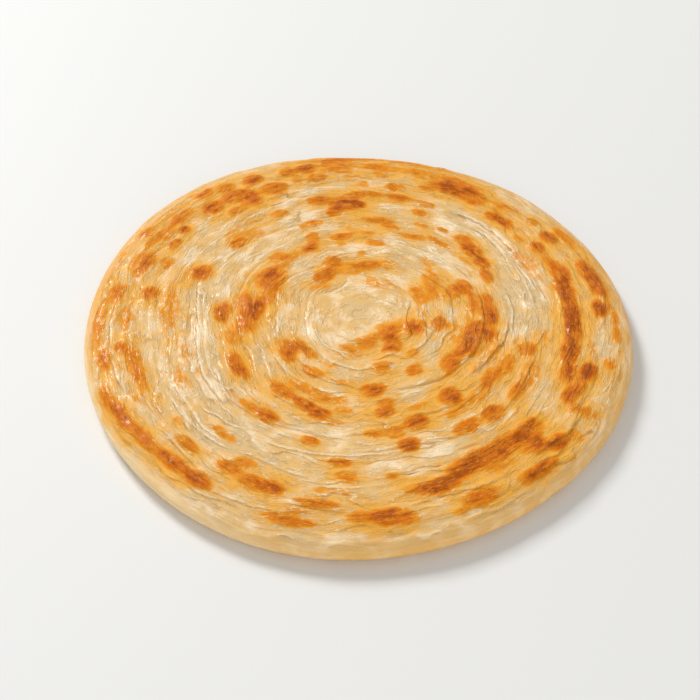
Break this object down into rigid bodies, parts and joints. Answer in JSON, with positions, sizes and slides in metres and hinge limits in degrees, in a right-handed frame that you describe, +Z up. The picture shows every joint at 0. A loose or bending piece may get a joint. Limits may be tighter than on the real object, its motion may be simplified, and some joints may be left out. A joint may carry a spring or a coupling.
{
  "type": "paratha flatbread",
  "caption": "Round flaky flatbread, coiled from a strip of layered dough, pan-toasted, with a thick rounded pale side and a flat foot to lie on.",
  "frame": {"origin": "middle of the bread's box on the plane of its flat foot", "axes": "+Z up through the toasted top, -Y towards the viewer, +X to the viewer's right"},
  "size_m": [0.22, 0.2208, 0.0125],
  "materials": {
    "toasted_dough": "pale golden fried dough with orange-brown toasted patches and a slight oily shine"
  },
  "bodies": {
    "root": {"paratha": "toasted_dough"}
  },
  "joints": []
}
